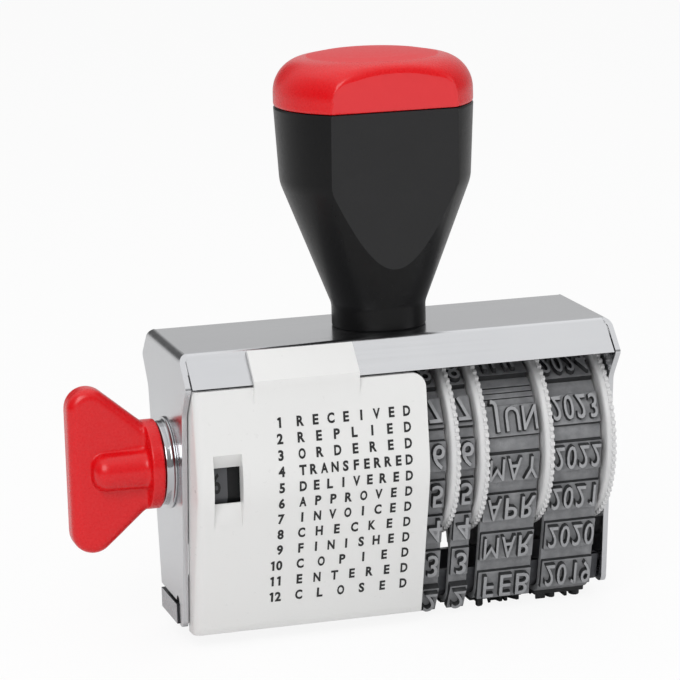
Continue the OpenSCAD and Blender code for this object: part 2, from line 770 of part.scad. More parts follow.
module date_wheel(i) {
    x1 = rim_x[i];
    web_x0 = x1 - web_in - web_t;
    drum_x0 = i == 0 ? drum_x1 + phrase_gap / 2 : rim_x[i - 1] + wheel_gap;
    bore = axle_r + run_fit;
    root_r = rim_r - tooth_h;
    about_axle() translate([0, 0, x1 - rim_t]) difference() {
        union() {
            cylinder(r1 = root_r - rim_bevel, r2 = root_r, h = rim_bevel);
            translate([0, 0, rim_bevel]) cylinder(r = root_r, h = rim_t - rim_bevel);
            translate([0, 0, rim_t - tooth_w]) linear_extrude(tooth_w) rim_outline(root_r);
        }
        translate([0, 0, -cut]) cylinder(r = rim_in, h = rim_t + 2 * cut);
    }
    tube(web_x0, web_x0 + web_t, rim_in + cut / 4, bore);
    tube(drum_x0, web_x0 + web_t / 2, drum_r, drum_r - drum_wall);
    tube(drum_x0, web_x0 + web_t / 2, hub_r, bore);
}

module tens_wheel() { color("ivory") date_wheel(0); }
module units_wheel() { color("ivory") date_wheel(1); }
module month_wheel() { color("ivory") date_wheel(2); }
module year_wheel() { color("ivory") date_wheel(3); }

// Rubber loops: a strap with raised pads, each with a blank block for every character
module type_pad(x0, x1, chars) {
    base = strap_t / 2;
    w = (x1 - x0 - 2 * (pad_inset + type_inset) + char_gap) / chars;
    translate([x0 + pad_inset, -pad_l / 2, -base - pad_h])
        cube([x1 - x0 - 2 * pad_inset, pad_l, base + pad_h]);
    for (c = [0:chars - 1])
        translate([x0 + pad_inset + type_inset + c * w, -char_h / 2, -base - pad_h - type_h])
            cube([w - char_gap, char_h, pad_h + type_h]);
}

module rubber_loop(x0, x1, chars, count, roll, blank, before) {
    pitch = (loop_l - blank) / count;
    color("#4c4d50") {
        along_x(x0, x1) difference() {
            loop_region(strap_t);
            loop_region(0);
        }
        for (k = [0:count - 1]) {
            at = on_loop(k * pitch + (k < before ? 0 : blank) + roll);
            translate([0, at.x, at.y]) rotate([-at.z, 0, 0]) type_pad(x0, x1, chars);
        }
    }
}

module date_loop(i) {
    rubber_loop(band_x[i], band_x[i] + date_w[i], date_chars[i], date_pads[i], date_roll[i],
        date_blank[i], date_joint[i]);
}

module phrase_band() { rubber_loop(phrase_x0, phrase_x1, 1, pads, 0, joint_l, pads); }
module tens_band() { date_loop(0); }
module units_band() { date_loop(1); }
module month_band() { date_loop(2); }
module year_band() { date_loop(3); }

frame();
handle();
handle_cap();
handle_insert();
handle_screw();
lock_washer();
phrase_cover();
print_bridge();
axle();
axle_clip();
wing_knob();
knob_bush();
bush_nut();
right_bush();
phrase_drum();
index_ring();
phrase_band();
tens_wheel();
units_wheel();
month_wheel();
year_wheel();
tens_band();
units_band();
month_band();
year_band();
end_washer();
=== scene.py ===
"""Looks of a dial-a-phrase date stamp: plated frame, moulded handle and knob, rubber type."""
import json
import logging
from collections.abc import Callable, Iterator, Sequence
from contextlib import contextmanager
from dataclasses import dataclass, field
from enum import Enum
from math import acos, asin, atan2, cos, hypot, pi, radians, sin, sqrt, tan

import bmesh
import bpy
from bpy.types import ID, Material, MeshPolygon, Node, NodeSocket, NodeTree, Object, World
from mathutils import Matrix, Vector

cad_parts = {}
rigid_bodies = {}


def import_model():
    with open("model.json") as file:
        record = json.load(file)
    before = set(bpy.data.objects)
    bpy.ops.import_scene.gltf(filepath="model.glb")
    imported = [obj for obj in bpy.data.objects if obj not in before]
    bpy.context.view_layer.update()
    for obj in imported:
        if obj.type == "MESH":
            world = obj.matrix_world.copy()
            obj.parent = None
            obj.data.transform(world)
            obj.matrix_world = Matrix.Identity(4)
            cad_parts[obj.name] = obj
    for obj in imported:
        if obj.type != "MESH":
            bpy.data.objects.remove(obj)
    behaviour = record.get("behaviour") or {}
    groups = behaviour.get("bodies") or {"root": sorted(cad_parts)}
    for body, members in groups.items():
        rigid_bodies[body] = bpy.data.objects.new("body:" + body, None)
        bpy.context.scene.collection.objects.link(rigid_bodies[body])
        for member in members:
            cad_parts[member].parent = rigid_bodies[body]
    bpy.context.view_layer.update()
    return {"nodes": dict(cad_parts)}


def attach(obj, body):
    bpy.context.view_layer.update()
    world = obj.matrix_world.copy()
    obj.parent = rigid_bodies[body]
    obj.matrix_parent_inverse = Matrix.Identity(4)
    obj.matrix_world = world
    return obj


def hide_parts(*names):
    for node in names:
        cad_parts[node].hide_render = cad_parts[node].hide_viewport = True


Pair = tuple[float, float]
Triple = tuple[float, float, float]

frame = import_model()
LOG = logging.getLogger("date_stamp")
MM = 0.001
AXLE_Z = 27.0
# Points of a CAD mesh closer than this are one, and faces that turn by less than this are one flat.
WELD = 0.002 * MM
FLAT_TURN = radians(0.4)
# Faces of a clamped bevel that are smaller than this have collapsed.
COLLAPSED = 0.001 * MM
# A cut keeps points apart from its plane down to this distance.
FINE_CUT = 0.0001 * MM
X_AXIS, Z_AXIS = Vector((1, 0, 0)), Vector((0, 0, 1))
# The built-in font at this size has capitals about this high and mostly this wide.
FONT_SIZE, FONT_HIGH, FONT_WIDE = 10, 7.3, 5.2
# The flag of the figure one, in the font's units: place on the stem, lean and size.
FLAG_SHIFT, FLAG_LEAN, FLAG_LONG, FLAG_HIGH = (-0.35, 6.35), radians(32), 1.9, 0.75


class Body(Enum):
    """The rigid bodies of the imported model."""

    STAMP = "stamp"
    PHRASE = "phrase"
    TENS = "tens"
    UNITS = "units"
    MONTH = "month"
    YEAR = "year"


class Grain(Enum):
    """How a surface was worked, which sets the pattern of its relief."""

    MOULDED = "moulded"
    ROLLED = "rolled"
    CAST_RUBBER = "cast rubber"
    TURNED = "turned"


# Rolled sheet and turned metal carry marks drawn out along x or round the axle.
STRETCH = {Grain.ROLLED: (0.02, 1, 1), Grain.TURNED: (1, 0.15, 0.15)}
PATCH_NOISE = {"Detail": 3.0, "Roughness": 0.55}
FINE_NOISE = {"Detail": 4.0, "Roughness": 0.6}
# Most values of a noise pattern lie in this span.
NOISE_SPAN = {"From Min": 0.3, "From Max": 0.7}
LEAST_ROUGHNESS = 0.02
SUBSURFACE_DEPTH = 0.6 * MM


def linear(code: str) -> tuple[float, float, float, float]:
    """Turns an sRGB hex colour into a linear one.

    Args:
        code: six hex digits after a hash.

    Returns:
        Red, green, blue and an alpha of 1.
    """
    parts = [int(code[i:i + 2], 16) / 255 for i in (1, 3, 5)]
    red, green, blue = (p / 12.92 if p <= 0.04045 else ((p + 0.055) / 1.055) ** 2.4 for p in parts)
    return red, green, blue, 1.0


def add_node(tree: NodeTree, kind: str, inputs: dict | None = None,
             **settings: object) -> Node:
    """Adds one shader node with its settings and links.

    Args:
        tree: the node tree that takes the node.
        kind: Blender's name for the node's type.
        inputs: a value or an output socket for each input's name or index.
        settings: the node's own properties.

    Returns:
        The new node.
    """
    node = tree.nodes.new(kind)
    for name, value in settings.items():
        setattr(node, name, value)
    for key, value in (inputs or {}).items():
        if isinstance(value, NodeSocket):
            tree.links.new(value, node.inputs[key])
        else:
            node.inputs[key].default_value = value
    return node


def empty_tree(made: Material | World) -> NodeTree:
    """Gives a new material or world a node tree with nothing in it.

    Args:
        made: the material or world.

    Returns:
        Its empty node tree.
    """
    made.use_nodes = True
    made.node_tree.nodes.clear()
    return made.node_tree


@dataclass(frozen=True)
class Finish:
    """One real surface: its material, colours and the marks of how it was made."""

    name: str
    colour: str
    drift: str
    roughness: float
    grain: Grain = Grain.MOULDED
    drift_mm: float = 9.0
    grain_mm: float = 0.7
    relief_mm: float = 0.006
    gloss_swing: float = 0.05
    metallic: float = 0.0
    ior: float = 1.5
    subsurface: float = 0.0
    specular: float = 0.5

    def material(self) -> Material:
        """Builds the material once and gives the same one back later.

        Returns:
            The material, with colour, roughness and relief from procedural patterns.
        """
        known = bpy.data.materials.get(self.name)
        if known:
            return known
        made = bpy.data.materials.new(self.name)
        tree = empty_tree(made)
        place = add_node(tree, "ShaderNodeTexCoord").outputs["Object"]
        drawn = add_node(tree, "ShaderNodeMapping", {
            "Vector": place, "Scale": STRETCH.get(self.grain, (1, 1, 1))}).outputs["Vector"]
        patches = add_node(tree, "ShaderNodeTexNoise", {
            "Vector": place, "Scale": 1 / (self.drift_mm * MM), **PATCH_NOISE}).outputs["Fac"]
        fine = add_node(tree, "ShaderNodeTexNoise", {
            "Vector": drawn, "Scale": 1 / (self.grain_mm * MM), **FINE_NOISE}).outputs["Fac"]
        colour = add_node(tree, "ShaderNodeMix", {
            "Factor": patches, "A": linear(self.colour), "B": linear(self.drift)}, data_type="RGBA")
        gloss = add_node(tree, "ShaderNodeMapRange", {
            "Value": fine, **NOISE_SPAN,
            "To Min": max(LEAST_ROUGHNESS, self.roughness - self.gloss_swing),
            "To Max": self.roughness + self.gloss_swing})
        relief = add_node(tree, "ShaderNodeBump", {
            "Height": fine, "Distance": self.relief_mm * MM, "Strength": 1.0})
        shader = add_node(tree, "ShaderNodeBsdfPrincipled", {
            "Base Color": colour.outputs["Result"], "Roughness": gloss.outputs["Result"],
            "Normal": relief.outputs["Normal"], "Metallic": self.metallic, "IOR": self.ior,
            "Subsurface Weight": self.subsurface, "Specular IOR Level": self.specular,
            "Subsurface Radius": (1.0, 1.0, 1.0), "Subsurface Scale": SUBSURFACE_DEPTH})
        add_node(tree, "ShaderNodeOutputMaterial", {"Surface": shader.outputs["BSDF"]})
        return made


# Bright nickel on rolled steel: mirror-like, with faint drawn lines and slow waves from rolling.
PLATED_SHEET = Finish("nickel_plated_sheet", "#cfd0d2", "#c6c7ca", 0.2, Grain.ROLLED,
                      16, 0.5, 0.0012, 0.05, 1.0)
# Chromed brass turning: brighter and smoother than the sheet, with fine rings.
CHROME = Finish("chromed_turning", "#c8c9cc", "#aeafb2", 0.1, Grain.TURNED,
                8, 0.6, 0.0012, 0.04, 1.0)
# The bridge's plated strip, painted dark as painted shade between the loops, with a dull metal shine on
# its edges.
BRIDGE_SHADE_METAL = Finish("painted_shade_bridge_metal", "#5c5d60", "#454649", 0.4, Grain.ROLLED,
                    6, 0.5, 0.003, 0.1, 1.0)
# Bright drawn steel of the shaft and the small hardware.
STEEL = Finish("drawn_steel", "#b7b8bb", "#a4a5a9", 0.28, Grain.TURNED,
               5, 0.35, 0.002, 0.06, 1.0)
# Blackened spring steel of the clip.
SPRING_STEEL = Finish("blackened_spring_steel", "#33343a", "#26272b", 0.42, Grain.TURNED,
                      4, 0.4, 0.002, 0.06, 1.0)
# Brass of the moulded-in insert.
BRASS = Finish("turned_brass", "#c9a14e", "#b58c3c", 0.3, Grain.TURNED,
               4, 0.4, 0.002, 0.06, 1.0)
# Satin ABS, moulded against a lightly blasted steel: deep black with a soft broad shine.
BLACK_ABS = Finish("satin_black_abs", "#09090a", "#0f0f10", 0.32, relief_mm=0.003,
                   drift_mm=14, grain_mm=0.5, ior=1.53, specular=0.17)
# The flats are spark-eroded in the mould, which leaves them matt; their lighter colour is painted sheen.
BLACK_FLAT_MATT_AND_SHEEN = Finish("spark_textured_black_abs_and_sheen", "#1f1f20", "#252526", 0.5, relief_mm=0.008,
                    drift_mm=10, grain_mm=0.35, ior=1.53, specular=0.26)
# The same ABS in signal red, a little glossier.
RED_ABS = Finish("satin_red_abs", "#e00a14", "#d60811", 0.28, relief_mm=0.0005,
                 drift_mm=14, grain_mm=0.6, ior=1.53, specular=0.42)
# The cap's flats and the top of its crown carry the same matt texture; their paler, pinker colour is
# painted reflection of the bright surround.
RED_FLAT_MATT_AND_SHEEN = Finish("spark_textured_red_abs_and_sheen", "#e02b31", "#d7282d", 0.48, relief_mm=0.008,
                  drift_mm=10, grain_mm=0.35, ior=1.53, specular=0.45)
# White polystyrene of the cover, polished in the mould.
WHITE_STYRENE = Finish("white_polystyrene", "#e8e8e7", "#e5e5e4", 0.3, relief_mm=0.0008,
                       drift_mm=20, grain_mm=0.9, gloss_swing=0.03, ior=1.55, specular=0.35)
# Natural nylon of the thumbwheels: off-white, a little translucent, matt from handling.
NATURAL_NYLON = Finish("natural_nylon", "#dfdfdf", "#d4d4d5", 0.45, relief_mm=0.006,
                       drift_mm=5, grain_mm=0.5, ior=1.53, subsurface=0.05)
# Dark acetal of the drum and of the index ring's number band.
DARK_ACETAL = Finish("dark_acetal", "#545558", "#47484b", 0.42, relief_mm=0.005,
                     drift_mm=6, grain_mm=0.5, ior=1.48)
# The plain band beside the numbers is painted black: painted shade that the cover casts into the window.
SHADE_ACETAL = Finish("painted_shade_acetal", "#0e0f10", "#131415", 0.5, relief_mm=0.005,
                      drift_mm=6, grain_mm=0.5, ior=1.48, specular=0.3)
# Vulcanised rubber: mid grey and matt, with a fine cast skin and streaks of talc.
RUBBER = Finish("vulcanised_rubber", "#a3a4a6", "#6b6c6f", 0.62, Grain.CAST_RUBBER,
                1.5, 0.28, 0.05, 0.12, specular=0.35)
# Flanks of the type and sides of the pads are painted nearly black: painted shade along them.
SHADE_FLANK_RUBBER = Finish("painted_shade_flank_rubber", "#3b3c3e", "#282929", 0.55, Grain.CAST_RUBBER,
                      1.6, 0.3, 0.015, 0.1, specular=0.35)
# The type's printing faces are paler than the skin beside them.
PALE_FACE_RUBBER = Finish("pale_type_face_rubber", "#b0b1b3", "#8f9093", 0.55, Grain.CAST_RUBBER,
                       1.2, 0.28, 0.025, 0.08, specular=0.35)
# Pad-printing ink on the cover.
BLACK_INK = Finish("pad_printed_ink", "#151516", "#1f1f21", 0.5,
                   drift_mm=3, grain_mm=0.3, relief_mm=0.002)
# Dark filling of the index numbers.
NUMBER_INK = Finish("dark_number_fill", "#070708", "#0b0b0c", 0.5,
                    drift_mm=3, grain_mm=0.3, relief_mm=0.002)


def only(obj: Object) -> None:
    """Makes one object the only selected and the active one.

    Args:
        obj: the object.
    """
    bpy.ops.object.select_all(action="DESELECT")
    obj.select_set(True)
    bpy.context.view_layer.objects.active = obj


@contextmanager
def editing(obj: Object) -> Iterator[None]:
    """Opens an object in edit mode with all of it selected, and closes it again.

    Args:
        obj: the mesh object.

    Returns:
        Nothing, while edit mode lasts.
    """
    only(obj)
    bpy.ops.object.mode_set(mode="EDIT")
    bpy.ops.mesh.select_all(action="SELECT")
    yield
    bpy.ops.object.mode_set(mode="OBJECT")


def pick(obj: Object, parts: str, test: Callable[[object], bool]) -> None:
    """Selects the edges or faces that pass a test, in edit mode.

    Args:
        obj: the object being edited.
        parts: edges or faces.
        test: says whether one of them is wanted.
    """
    bpy.ops.mesh.select_mode(type={"edges": "EDGE", "faces": "FACE"}[parts])
    bpy.ops.mesh.select_all(action="DESELECT")
    mesh = bmesh.from_edit_mesh(obj.data)
    for part in getattr(mesh, parts):
        if test(part):
            part.select_set(True)
    bmesh.update_edit_mesh(obj.data)


def modify(obj: Object, kind: str, **settings: object) -> None:
    """Adds one modifier and applies it.

    Args:
        obj: the object it acts on.
        kind: Blender's name for the modifier.
        settings: the modifier's properties.
    """
    only(obj)
    bpy.ops.object.modifier_add(type=kind)
    modifier = obj.modifiers[-1]
    for name, value in settings.items():
        setattr(modifier, name, value)
    bpy.ops.object.modifier_apply(modifier=modifier.name)


def soften(obj: Object, width_mm: float, degrees: float = 32) -> None:
    """Breaks a piece's sharp edges, shades its curves smoothly and keeps its flats flat.

    Args:
        obj: the piece.
        width_mm: width of the broken edge.
        degrees: edges that turn by more than this are broken.
    """
    modify(obj, "BEVEL", width=width_mm * MM, segments=2, limit_method="ANGLE",
           angle_limit=radians(degrees), use_clamp_overlap=True)
    with editing(obj):
        bpy.ops.mesh.dissolve_degenerate(threshold=COLLAPSED)
    bpy.ops.object.shade_smooth_by_angle(angle=radians(degrees))
    modify(obj, "WEIGHTED_NORMAL", mode="FACE_AREA", weight=50, keep_sharp=True)


def melt(obj: Object, voxel_mm: float, even: int, steps: int,
         weigh: Callable[[float, float, float], float]) -> None:
    """Gives a piece one even skin and rounds a part of it.

    Args:
        obj: the piece.
        voxel_mm: size of the skin's faces.
        even: smoothing steps over the whole skin.
        steps: smoothing steps over the part that is rounded.
        weigh: share of the rounding at a point in mm, none where it isn't above 0.
    """
    modify(obj, "REMESH", mode="VOXEL", voxel_size=voxel_mm * MM)
    modify(obj, "SMOOTH", factor=0.5, iterations=even)
    part = obj.vertex_groups.new(name="rounded")
    for vertex in obj.data.vertices:
        weight = weigh(*(vertex.co / MM))
        if weight > 0:
            part.add([vertex.index], min(1.0, weight), "REPLACE")
    modify(obj, "SMOOTH", factor=0.5, iterations=steps, vertex_group=part.name)


def coat(obj: Object, *finishes: Finish,
         second: Callable[[MeshPolygon], bool] | None = None) -> None:
    """Adds finishes to a piece's material slots.

    Args:
        obj: the piece.
        finishes: its finishes in order.
        second: says whether a face has the second finish, where some have it.
    """
    for finish in finishes:
        obj.data.materials.append(finish.material())
    if second:
        for face in obj.data.polygons:
            face.material_index = int(second(face))


def dress(obj: Object, body: Body, slot: str, *finishes: Finish) -> None:
    """Gives a new piece its finishes and its body.

    Args:
        obj: the piece.
        body: the rigid body it moves with.
        slot: not used.
        finishes: materials in the order of the mesh's slots, none where the mesh has its own.
    """
    if finishes:
        obj.data.materials.clear()
    coat(obj, *finishes)
    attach(obj, body.value)
    LOG.info("%s: %d faces", obj.name, len(obj.data.polygons))


def clean_copy(node: str, name: str) -> Object:
    """Copies a CAD node's mesh into a new piece, with its triangles joined to whole flats.

    Args:
        node: the CAD node.
        name: the new piece's name.

    Returns:
        The new piece.
    """
    obj = put(name, frame["nodes"][node].data.copy())
    with editing(obj):
        bpy.ops.mesh.remove_doubles(threshold=WELD)
        bpy.ops.mesh.dissolve_limited(angle_limit=FLAT_TURN)
    if obj.data.has_custom_normals:
        bpy.ops.mesh.customdata_custom_splitnormals_clear()
    return obj


def joined(name: str, pieces: Sequence[Object]) -> Object:
    """Joins pieces into one.

    Args:
        name: the joined piece's name.
        pieces: the pieces, the first of which sets the material slots.

    Returns:
        The joined piece.
    """
    bpy.ops.object.select_all(action="DESELECT")
    for piece in pieces:
        piece.select_set(True)
    bpy.context.view_layer.objects.active = pieces[0]
    bpy.ops.object.join()
    pieces[0].name = name
    return pieces[0]


def put(name: str, data: ID) -> Object:
    """Sets a new object in the scene.

    Args:
        name: its name.
        data: its mesh, light or camera.

    Returns:
        The object.
    """
    obj = bpy.data.objects.new(name, data)
    bpy.context.collection.objects.link(obj)
    return obj


def framed(axes: Sequence[Vector], spot: Vector) -> Matrix:
    """Builds a frame from its axes and its origin.

    Args:
        axes: the directions of x, y and z.
        spot: the origin in mm.

    Returns:
        The frame in metres.
    """
    place = Matrix.Identity(4)
    for i, axis in enumerate(axes):
        place.col[i][:3] = axis
    place.translation = spot * MM
    return place


def settle(obj: Object, place: Matrix, name: str) -> Object:
    """Copies a piece with its own mesh and moves that mesh to its place.

    Args:
        obj: the model piece, kept as it is.
        place: where the copy goes.
        name: the copy's name.

    Returns:
        The copy, with its object at the origin.
    """
    copy = put(name, obj.data.copy())
    copy.data.transform(place)
    if place.determinant() < 0:
        copy.data.flip_normals()
    return copy


@dataclass
class Lettering:
    """Characters modelled once from the built-in font and copied where they are needed."""

    height_mm: float
    width_mm: float
    depth_mm: float
    weight: float
    soft_mm: float = 0.0
    models: dict[str, Object] = field(default_factory=dict)

    def model(self, char: str) -> Object:
        """Makes one character, centred in x and y, with its face at z = 0.

        Args:
            char: the character.

        Returns:
            Its model in metres, to be copied with settle.
        """
        if char in self.models:
            return self.models[char]
        bpy.ops.object.text_add()
        obj = bpy.context.object
        text = obj.data
        text.body = char
        text.size = FONT_SIZE
        text.resolution_u = 3
        # The inner corners of these two fold over when they are thickened.
        narrow = char in "MW"
        text.offset = 0.0 if narrow else self.weight
        text.extrude = self.depth_mm / 2
        text.bevel_depth = self.soft_mm / 4 if narrow else self.soft_mm
        text.bevel_resolution = 0
        bpy.ops.object.convert(target="MESH")
        obj = bpy.context.object
        if char == "1":
            obj = self.flagged(obj)
        low = [min(v.co[i] for v in obj.data.vertices) for i in range(3)]
        high = [max(v.co[i] for v in obj.data.vertices) for i in range(3)]
        tall = self.height_mm / (FONT_HIGH + 2 * self.weight)
        wide = min(self.width_mm / (FONT_WIDE + 2 * self.weight), self.width_mm / (high[0] - low[0]))
        centre = Matrix.Translation([-(low[0] + high[0]) / 2, -FONT_HIGH / 2, -high[2]])
        obj.data.transform(Matrix.Diagonal((wide * MM, tall * MM, MM, 1)) @ centre)
        with editing(obj):
            bpy.ops.mesh.remove_doubles(threshold=0.005 * MM)
            bpy.ops.mesh.normals_make_consistent(inside=False)
        obj.data.materials.clear()
        self.models[char] = obj
        return obj

    def flagged(self, stem: Object) -> Object:
        """Gives the font's figure one, which is a plain stem, its flag.

        Args:
            stem: the figure's mesh, in the font's units.

        Returns:
            The figure with its flag.
        """
        corner = Vector([min(v.co[i] for v in stem.data.vertices) for i in range(3)])
        deep = max(v.co.z for v in stem.data.vertices) - corner.z
        if deep:
            bpy.ops.mesh.primitive_cube_add(size=1)
        else:
            bpy.ops.mesh.primitive_plane_add(size=1)
        flag = bpy.context.object
        place = Matrix.Translation(corner + Vector((*FLAG_SHIFT, deep / 2)))
        place = place @ Matrix.Rotation(FLAG_LEAN, 4, "Z")
        size = Matrix.Diagonal((FLAG_LONG, FLAG_HIGH + 2 * self.weight, max(deep, 1.0), 1))
        flag.data.transform(place @ size)
        return joined("figure_one", [stem, flag])

    def clear(self) -> None:
        """Removes the models once they have been copied."""
        for obj in self.models.values():
            bpy.data.objects.remove(obj)
        self.models.clear()


@dataclass(frozen=True)
class LoopPath:
    """The way of a rubber loop round its drum and the print bridge, in mm."""

    belt_r: float = 11.2
    nose_w: float = 3.0
    nose_r: float = 2.55
    strap: float = 0.9
    pad: float = 0.6
    type_high: float = 0.8

    @property
    def nose_z(self) -> float:
        """Height of the turns round the bridge."""
        return self.strap + self.pad + self.type_high + self.nose_r

    @property
    def lean(self) -> float:
        """Slope of the straight runs, in radians."""
        rise = AXLE_Z - self.nose_z
        reach = hypot(self.nose_w, rise)
        return asin((self.belt_r - self.nose_r) / reach) - atan2(self.nose_w, rise)

    @property
    def stops(self) -> Triple:
        """Lengths along the strap's middle to the run's start, the run's end and all round."""
        reach = hypot(self.nose_w, AXLE_Z - self.nose_z)
        run = sqrt(reach ** 2 - (self.belt_r - self.nose_r) ** 2)
        start = self.nose_w + (self.nose_r + self.strap / 2) * (pi / 2 - self.lean)
        over = (self.belt_r + self.strap / 2) * (pi + 2 * self.lean)
        return start, start + run, 2 * (start + run) + over

    def at(self, length: float) -> Triple:
        """Finds a point on the strap's middle.

        Args:
            length: way from the centre of the sole, up the front.

        Returns:
            y and z in mm, and the turn of the outward normal from straight down, in radians.
        """
        start, end, whole = self.stops
        length %= whole
        if length > whole / 2:
            y, z, turn = self.at(whole - length)
            return -y, z, -turn
        small, big = self.nose_r + self.strap / 2, self.belt_r + self.strap / 2
        if length <= self.nose_w:
            return -length, self.nose_z - small, 0.0
        if length <= start:
            turn = (length - self.nose_w) / small
            return -self.nose_w - small * sin(turn), self.nose_z - small * cos(turn), turn
        turn = pi / 2 - self.lean
        if length <= end:
            way = length - start
            return (-self.nose_w - small * sin(turn) - way * sin(self.lean),
                    self.nose_z - small * cos(turn) + way * cos(self.lean), turn)
        turn += (length - end) / big
        return -big * sin(turn), AXLE_Z - big * cos(turn), turn

    def pad_place(self, length: float) -> Matrix:
        """Frame of a pad: x along the axle, y down the loop as mirrored type needs, z outwards.

        Args:
            length: way along the strap's middle.

        Returns:
            The frame at the type's face, in metres.
        """
        y, z, turn = self.at(length)
        out = Vector((0, -sin(turn), -cos(turn)))
        down = Vector((0, cos(turn), -sin(turn)))
        face = Vector((0, y, z)) + out * (self.strap / 2 + self.pad + self.type_high)
        return framed((X_AXIS, down, out), face)


@dataclass
class TypeLoop:
    """A rubber loop with raised, mirrored type on pads and a blank joint, in mm."""

    node: str
    x0: float
    x1: float
    labels: Sequence[str]
    roll: float = 0.0
    cells: int = 1
    blank: float = 0.0
    before: int = 16
    pad_l: float = 5.0
    rib_l: float = 0.45
    rib_h: float = 0.3
    rib_shifts: tuple[float, ...] = (-1.1, -0.2, 0.7)
    side_draft: float = 0.1
    end_draft: float = 0.25
    margin: float = 0.25
    path: LoopPath = LoopPath()

    def strap(self) -> Object:
        """Draws an edge out along the loop and gives it the strap's thickness.

        Returns:
            The strap.
        """
        start, end, whole = self.path.stops
        nose = self.path.nose_w
        lengths = [0.0, 1.0, 2.0, nose]
        for low, high, steps in ((nose, start, 8), (start, end, 3), (end, whole / 2, 22)):
            lengths += [low + (high - low) * i / steps for i in range(1, steps + 1)]
        lengths += [whole - way for way in reversed(lengths[:-1])]
        points = [self.path.at(way)[:2] for way in lengths]
        first, second = points[0], points[1]
        bpy.ops.mesh.primitive_plane_add(size=MM)
        obj = bpy.context.object
        wide = Matrix.Diagonal((self.x1 - self.x0, first[0] - second[0], 1, 1))
        middle = Vector(((self.x0 + self.x1) / 2, (first[0] + second[0]) / 2, first[1])) * MM
        obj.data.transform(Matrix.Translation(middle - obj.location) @ wide)
        with editing(obj):
            pick(obj, "edges", lambda e: all(abs(v.co.y - second[0] * MM) < 1e-7 for v in e.verts))
            for here, there in zip(points[1:], points[2:]):
                step = (0, (there[0] - here[0]) * MM, (there[1] - here[1]) * MM)
                bpy.ops.mesh.extrude_edges_move(TRANSFORM_OT_translate={"value": step})
            bpy.ops.mesh.select_all(action="SELECT")
            bpy.ops.mesh.remove_doubles(threshold=0.004 * MM)
            bpy.ops.mesh.normals_make_consistent(inside=False)
        modify(obj, "SOLIDIFY", thickness=self.path.strap * MM, offset=0.0)
        soften(obj, width_mm=0.1, degrees=40)
        coat(obj, RUBBER)
        return obj

    def block(self, long: float, rise: float) -> Object:
        """Models a pad or a rib across the strap, with drafted sides.

        Args:
            long: its length along the loop.
            rise: its height above the strap.

        Returns:
            The block, in the frame that pad_place gives.
        """
        wide, high = self.x1 - self.x0, self.path.strap / 2 + rise
        bpy.ops.mesh.primitive_cube_add(size=MM)
        obj = bpy.context.object
        size = Matrix.Diagonal((wide - self.side_draft, long, high, 1))
        low = rise - self.path.pad - self.path.type_high - high / 2
        lift = Vector(((self.x0 + self.x1) / 2, 0, low)) * MM
        obj.data.transform(Matrix.Translation(lift) @ size)
        with editing(obj):
            pick(obj, "faces", lambda f: f.normal.z > 0.9)
            ends = min(self.end_draft, long / 3)
            bpy.ops.transform.resize(value=(1 - self.side_draft / wide, 1 - ends / long, 1),
                                     center_override=tuple(lift))
        soften(obj, width_mm=min(0.12, long / 6), degrees=30)
        # The sides of the pad or rib are painted dark as painted shade.
        coat(obj, RUBBER, SHADE_FLANK_RUBBER, second=lambda face: face.normal.z < 0.5)
        return obj

    def build(self, letters: Lettering) -> None:
        """Makes the whole loop in place of its CAD node.

        Args:
            letters: the type's characters.
        """
        pieces = [self.strap()]
        pad, rib = self.block(self.pad_l, self.path.pad), self.block(self.rib_l, self.rib_h)
        pitch = (self.path.stops[2] - self.blank) / len(self.labels)
        for k, label in enumerate(self.labels):
            place = self.path.pad_place(k * pitch + self.roll + (self.blank if k >= self.before else 0))
            pieces.append(settle(pad, place, "pad"))
            pieces += self.type_on(label, place, letters)
        if self.before < len(self.labels):
            # The joint's mould leaves ribs across the strap.
            middle = (self.before - 0.5) * pitch + self.roll + self.blank / 2
            for shift in self.rib_shifts:
                pieces.append(settle(rib, self.path.pad_place(middle + shift), "rib"))
        for model in (pad, rib):
            bpy.data.objects.remove(model)
        obj = joined(f"{self.node}_rubber", pieces)
        dress(obj, Body.STAMP, "rubber")
        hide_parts(self.node)

    def type_on(self, label: str, place: Matrix, letters: Lettering) -> list[Object]:
        """Sets one label's characters on a pad, each in its own cell.

        Args:
            label: the characters, empty for a blank pad.
            place: the pad's frame.
            letters: the characters' models.

        Returns:
            The characters.
        """
        made = []
        cells = max(self.cells, len(label))
        pitch = (self.x1 - self.x0 - 2 * self.margin) / cells
        first = self.x0 + self.margin + (cells - len(label)) * pitch / 2
        top = place.to_3x3() @ Z_AXIS
        for i, char in enumerate(label):
            shift = Matrix.Translation(Vector((first + (i + 0.5) * pitch, 0, 0)) * MM)
            glyph = settle(letters.model(char), place @ shift, "type")
            # The characters' flanks are painted dark as painted shade.
            coat(glyph, SHADE_FLANK_RUBBER, PALE_FACE_RUBBER, second=lambda face: face.normal.dot(top) > 0.9)
            made.append(glyph)
        return made


def filleted(corners: Sequence[Triple], steps: int = 8) -> list[Pair]:
    """Rounds the corners of a profile.

    Args:
        corners: radius, height and rounding of each corner, where 0 keeps it sharp.
        steps: steps of a rounding.

    Returns:
        The profile's points.
    """
    points = [corners[0][:2]]
    for before, here, after in zip(corners, corners[1:], corners[2:]):
        spot = Vector(here[:2])
        back, on = (Vector(before[:2]) - spot).normalized(), (Vector(after[:2]) - spot).normalized()
        if not here[2]:
            points.append(here[:2])
            continue
        half = back.angle(on) / 2
        middle = spot + (back + on).normalized() * here[2] / sin(half)
        first, last = (spot + way * here[2] / tan(half) - middle for way in (back, on))
        turn = first.angle_signed(last)
        turns = [Matrix.Rotation(-turn * i / steps, 2) for i in range(steps + 1)]
        points += [tuple(middle + step @ first) for step in turns]
    return points + [corners[-1][:2]]


